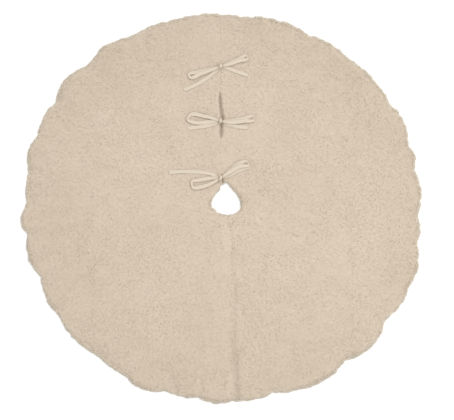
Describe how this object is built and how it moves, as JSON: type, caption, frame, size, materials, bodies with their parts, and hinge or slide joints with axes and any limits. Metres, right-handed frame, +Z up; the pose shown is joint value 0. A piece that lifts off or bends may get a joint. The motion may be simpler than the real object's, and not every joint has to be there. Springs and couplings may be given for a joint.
{
  "type": "tree skirt",
  "caption": "Round cream plush tree skirt in two lined half rings, seamed on one side and tied with ribbon bows along a slit, with a trunk hole; folds in half.",
  "frame": {"origin": "on the floor under the middle of the skirt's box", "axes": "+Z up from the floor, through the pile; +Y from the trunk hole along the tied slit; +X towards the half that folds over"},
  "size_m": [1.2371, 1.2016, 0.0245],
  "materials": {
    "plush": "cream short-pile plush, soft and matt",
    "lining": "plain woven cream lining",
    "ribbon": "light cream woven ribbon, faint sheen",
    "thread": "cream sewing thread"
  },
  "bodies": {
    "left_half": {"plush_left": "plush", "lining_left": "lining", "edge_thread_left": "thread", "plush_seam_thread": "thread", "lining_seam_thread": "thread", "knot_upper": "ribbon", "strap_left_upper": "ribbon", "strap_stitch_left_upper": "thread", "knot_middle": "ribbon", "strap_left_middle": "ribbon", "strap_stitch_left_middle": "thread", "knot_lower": "ribbon", "strap_left_lower": "ribbon", "strap_stitch_left_lower": "thread"},
    "right_half": {"plush_right": "plush", "lining_right": "lining", "edge_thread_right": "thread", "strap_right_upper": "ribbon", "strap_stitch_right_upper": "thread", "strap_right_middle": "ribbon", "strap_stitch_right_middle": "thread", "strap_right_lower": "ribbon", "strap_stitch_right_lower": "thread"},
    "loop_left_upper": {"loop_left_upper": "ribbon"},
    "tail_left_upper": {"tail_left_upper": "ribbon"},
    "loop_right_upper": {"loop_right_upper": "ribbon"},
    "tail_right_upper": {"tail_right_upper": "ribbon"},
    "loop_left_middle": {"loop_left_middle": "ribbon"},
    "tail_left_middle": {"tail_left_middle": "ribbon"},
    "loop_right_middle": {"loop_right_middle": "ribbon"},
    "tail_right_middle": {"tail_right_middle": "ribbon"},
    "loop_left_lower": {"loop_left_lower": "ribbon"},
    "tail_left_lower": {"tail_left_lower": "ribbon"},
    "loop_right_lower": {"loop_right_lower": "ribbon"},
    "tail_right_lower": {"tail_right_lower": "ribbon"}
  },
  "joints": [
    {"name": "fold", "type": "hinge", "parent": "left_half", "child": "right_half", "pos_m": [-0.0015, 0, 0.0185], "axis": [0, -1, 0], "range_deg": [0, 178]},
    {"name": "loop_left_upper_swing", "type": "hinge", "parent": "left_half", "child": "loop_left_upper", "pos_m": [-0.0015, 0.43813, 0.0185], "axis": [0, 0, 1], "range_deg": [-15, 15]},
    {"name": "tail_left_upper_swing", "type": "hinge", "parent": "left_half", "child": "tail_left_upper", "pos_m": [-0.0015, 0.43813, 0.0185], "axis": [0, 0, 1], "range_deg": [-20, 20]},
    {"name": "loop_right_upper_swing", "type": "hinge", "parent": "right_half", "child": "loop_right_upper", "pos_m": [-0.0015, 0.43813, 0.0185], "axis": [0, 0, 1], "range_deg": [-15, 15]},
    {"name": "tail_right_upper_swing", "type": "hinge", "parent": "right_half", "child": "tail_right_upper", "pos_m": [-0.0015, 0.43813, 0.0185], "axis": [0, 0, 1], "range_deg": [-20, 20]},
    {"name": "loop_left_middle_swing", "type": "hinge", "parent": "left_half", "child": "loop_left_middle", "pos_m": [-0.0015, 0.27013, 0.0185], "axis": [0, 0, 1], "range_deg": [-15, 15]},
    {"name": "tail_left_middle_swing", "type": "hinge", "parent": "left_half", "child": "tail_left_middle", "pos_m": [-0.0015, 0.27013, 0.0185], "axis": [0, 0, 1], "range_deg": [-20, 20]},
    {"name": "loop_right_middle_swing", "type": "hinge", "parent": "right_half", "child": "loop_right_middle", "pos_m": [-0.0015, 0.27013, 0.0185], "axis": [0, 0, 1], "range_deg": [-15, 15]},
    {"name": "tail_right_middle_swing", "type": "hinge", "parent": "right_half", "child": "tail_right_middle", "pos_m": [-0.0015, 0.27013, 0.0185], "axis": [0, 0, 1], "range_deg": [-20, 20]},
    {"name": "loop_left_lower_swing", "type": "hinge", "parent": "left_half", "child": "loop_left_lower", "pos_m": [-0.0015, 0.09463, 0.0185], "axis": [0, 0, 1], "range_deg": [-15, 15]},
    {"name": "tail_left_lower_swing", "type": "hinge", "parent": "left_half", "child": "tail_left_lower", "pos_m": [-0.0015, 0.09463, 0.0185], "axis": [0, 0, 1], "range_deg": [-20, 20]},
    {"name": "loop_right_lower_swing", "type": "hinge", "parent": "right_half", "child": "loop_right_lower", "pos_m": [-0.0015, 0.09463, 0.0185], "axis": [0, 0, 1], "range_deg": [-15, 15]},
    {"name": "tail_right_lower_swing", "type": "hinge", "parent": "right_half", "child": "tail_right_lower", "pos_m": [-0.0015, 0.09463, 0.0185], "axis": [0, 0, 1], "range_deg": [-20, 20]}
  ]
}
